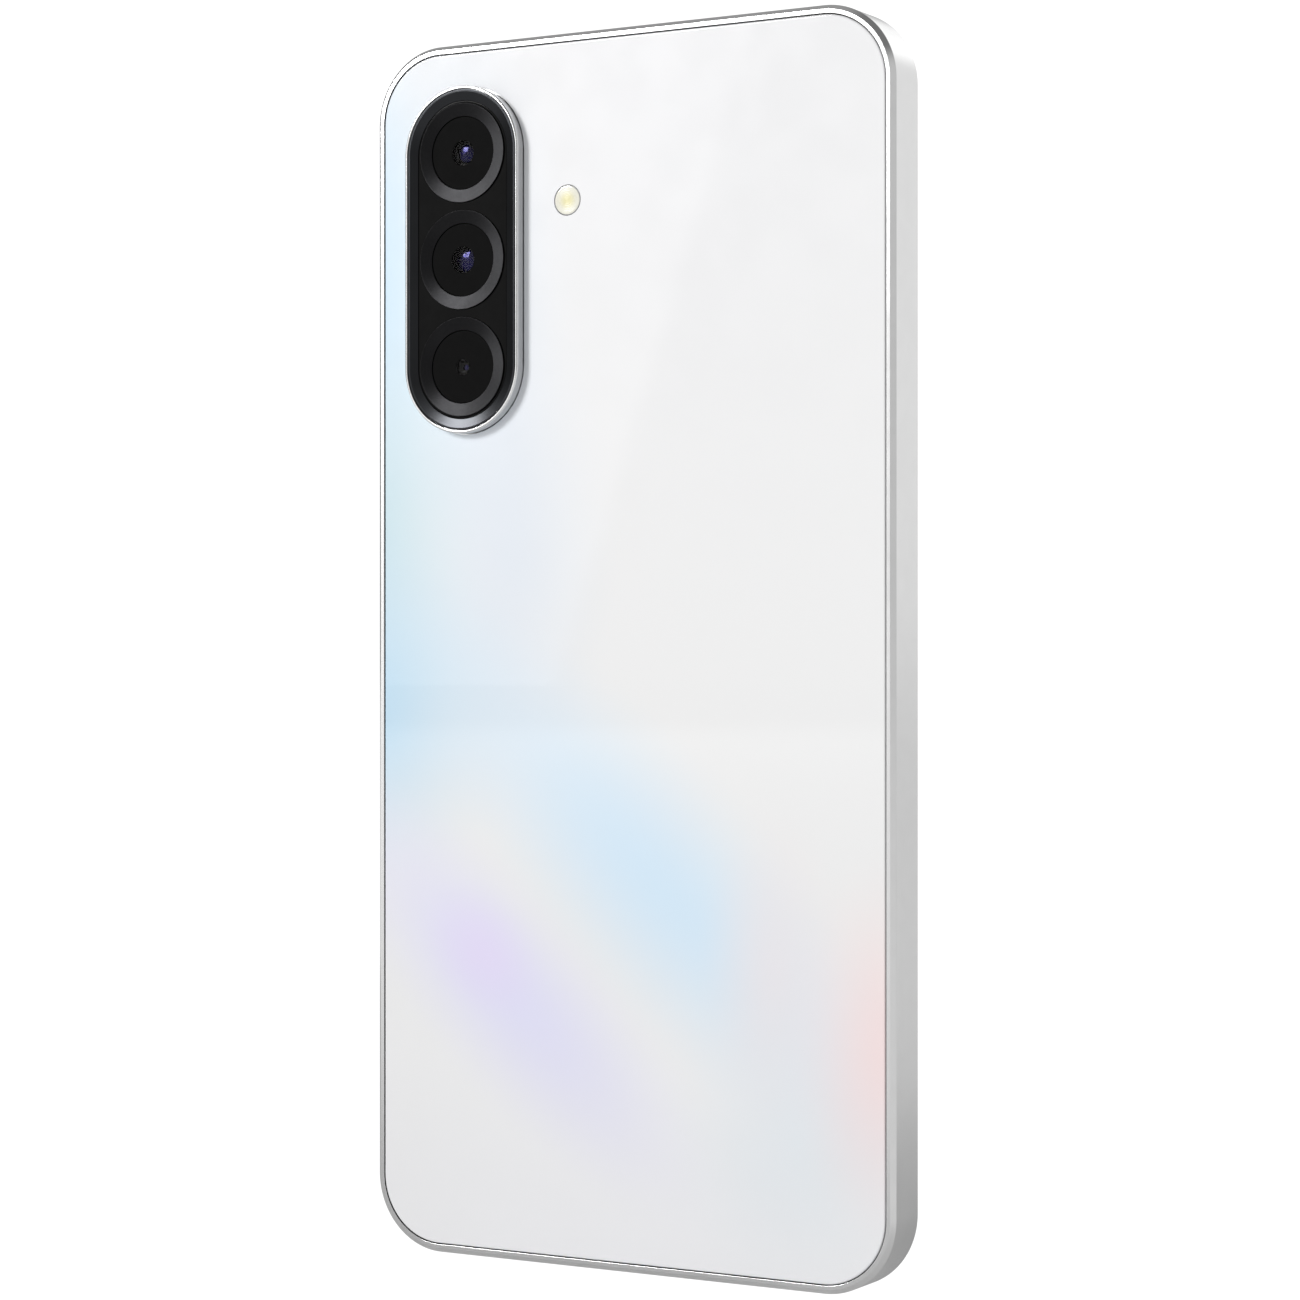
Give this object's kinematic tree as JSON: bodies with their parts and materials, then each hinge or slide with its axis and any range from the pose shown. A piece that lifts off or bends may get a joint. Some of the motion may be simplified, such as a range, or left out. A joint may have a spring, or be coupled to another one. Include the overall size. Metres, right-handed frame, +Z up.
{
  "type": "smartphone",
  "caption": "Flat slab smartphone with a metal side frame, glass front and back, and a raised oval camera island holding a column of lenses.",
  "frame": {"origin": "centre of the USB-C socket's mouth, in the middle of the bottom edge", "axes": "+Z up along the phone's length towards the front camera, +Y out of the back glass through the thickness, +X towards the side with the keys; the display faces -Y"},
  "size_m": [0.0787, 0.0089, 0.1629],
  "materials": {
    "anodised_frame": "satin anodised aluminium, silver",
    "bezel_metal": "polished metal ring",
    "dark_bevel": "dark grey anodised, bevelled",
    "black_plate": "flat black plate",
    "white_glass": "glossy pearl white back glass with faint iridescent colour",
    "lens_glass": "coated lens window",
    "lens_black": "black moulded lens barrel",
    "flash_glass": "frosted flash window",
    "flash_phosphor": "yellow phosphor",
    "front_glass": "clear cover glass over a dark panel",
    "panel_black": "display panel, switched off",
    "adhesive": "black foam tape",
    "copper_foil": "copper foil",
    "flex_amber": "polyimide flat cable",
    "board_green": "solder mask on fibreglass",
    "chip_black": "moulded chip packages",
    "steel": "stamped steel",
    "cover_plastic": "moulded glass-filled plastic",
    "battery_wrap": "black printed pouch",
    "tray_metal": "satin anodised aluminium, silver",
    "white_plastic": "natural moulded plastic",
    "magnet": "nickel plated magnet and yoke",
    "membrane": "thin polymer film",
    "mesh_black": "woven dust mesh",
    "cable_black": "insulated coaxial cable"
  },
  "bodies": {
    "phone_body": {"side_frame": "anodised_frame", "mid_plate": "tray_metal", "back_glass": "white_glass", "back_adhesive": "adhesive", "camera_bezel": "bezel_metal", "camera_bevel_ring": "dark_bevel", "camera_plate": "black_plate", "lens_rings": "dark_bevel", "lens_windows": "lens_glass", "flash_lens": "flash_glass", "flash_led": "flash_phosphor", "front_glass": "front_glass", "display_adhesive": "adhesive", "oled_panel": "panel_black", "display_foam": "copper_foil", "fingerprint_sensor": "chip_black", "display_flex": "flex_amber", "key_flex": "flex_amber", "key_domes": "steel", "sim_cage": "steel", "main_board": "board_green", "lower_board": "board_green", "board_chips": "chip_black", "board_connectors": "white_plastic", "processor_shield": "steel", "power_shield": "steel", "radio_shield": "steel", "upper_cover": "cover_plastic", "lower_cover": "cover_plastic", "cover_screws": "steel", "nfc_coil": "copper_foil", "battery": "battery_wrap", "battery_board": "flex_amber", "main_flex": "flex_amber", "antenna_cable": "cable_black", "front_camera": "lens_black", "ultrawide_camera": "lens_black", "closeup_camera": "lens_black", "main_camera_housing": "steel", "image_sensor": "chip_black", "speaker_box": "cover_plastic", "speaker_magnet": "magnet", "earpiece_case": "steel", "acoustic_meshes": "mesh_black", "microphones": "steel", "motor_case": "steel", "motor_shaft": "steel", "usb_shell": "steel", "usb_tongue": "chip_black"},
    "power_key": {"power_key": "anodised_frame"},
    "volume_key": {"volume_key": "anodised_frame"},
    "sim_tray": {"sim_tray": "tray_metal"},
    "eject_rod": {"eject_rod": "steel"},
    "eject_lever": {"eject_lever": "steel"},
    "stabiliser_frame": {"stabiliser_frame": "cover_plastic"},
    "lens_carrier": {"lens_carrier": "cover_plastic"},
    "main_lens_barrel": {"main_lens_barrel": "lens_black"},
    "vibration_rotor": {"vibration_rotor": "magnet"},
    "speaker_diaphragm": {"speaker_diaphragm": "membrane"},
    "earpiece_diaphragm": {"earpiece_diaphragm": "membrane"}
  },
  "joints": [
    {"name": "power_press", "type": "slide", "parent": "phone_body", "child": "power_key", "axis": [-1, 0, 0], "range_m": [0, 0.00025], "stiffness_N_per_m": 6000},
    {"name": "volume_rock", "type": "hinge", "parent": "phone_body", "child": "volume_key", "pos_m": [0.0354, 0, 0.118], "axis": [0, 1, 0], "range_deg": [-1, 1], "stiffness_Nm_per_rad": 2},
    {"name": "tray_slide", "type": "slide", "parent": "phone_body", "child": "sim_tray", "axis": [0, 0, 1], "range_m": [0, 0.03]},
    {"name": "rod_push", "type": "slide", "parent": "phone_body", "child": "eject_rod", "axis": [0, 0, -1], "range_m": [0, 0.0012], "stiffness_N_per_m": 400},
    {"name": "lever_turn", "type": "hinge", "parent": "phone_body", "child": "eject_lever", "pos_m": [-0.017, -0.0012, 0.1352], "axis": [0, 1, 0], "range_deg": [0, 14.6]},
    {"name": "stabiliser_x", "type": "slide", "parent": "phone_body", "child": "stabiliser_frame", "axis": [1, 0, 0], "range_m": [-0.00015, 0.00015], "stiffness_N_per_m": 300},
    {"name": "stabiliser_z", "type": "slide", "parent": "stabiliser_frame", "child": "lens_carrier", "axis": [0, 0, 1], "range_m": [-0.00015, 0.00015], "stiffness_N_per_m": 300},
    {"name": "focus", "type": "slide", "parent": "lens_carrier", "child": "main_lens_barrel", "axis": [0, 1, 0], "range_m": [0, 0.0003], "stiffness_N_per_m": 300},
    {"name": "rotor_spin", "type": "hinge", "parent": "phone_body", "child": "vibration_rotor", "pos_m": [-0.027, -0.0005, 0.011], "axis": [0, 1, 0], "continuous": true},
    {"name": "speaker_move", "type": "slide", "parent": "phone_body", "child": "speaker_diaphragm", "axis": [0, 1, 0], "range_m": [-0.0003, 0.0003], "stiffness_N_per_m": 500},
    {"name": "earpiece_move", "type": "slide", "parent": "phone_body", "child": "earpiece_diaphragm", "axis": [0, 1, 0], "range_m": [-0.0001, 0.0001], "stiffness_N_per_m": 500}
  ],
  "couplings": [
    {"joint": "lever_turn", "follows": "rod_push", "rad_per_m": 210.53}
  ]
}
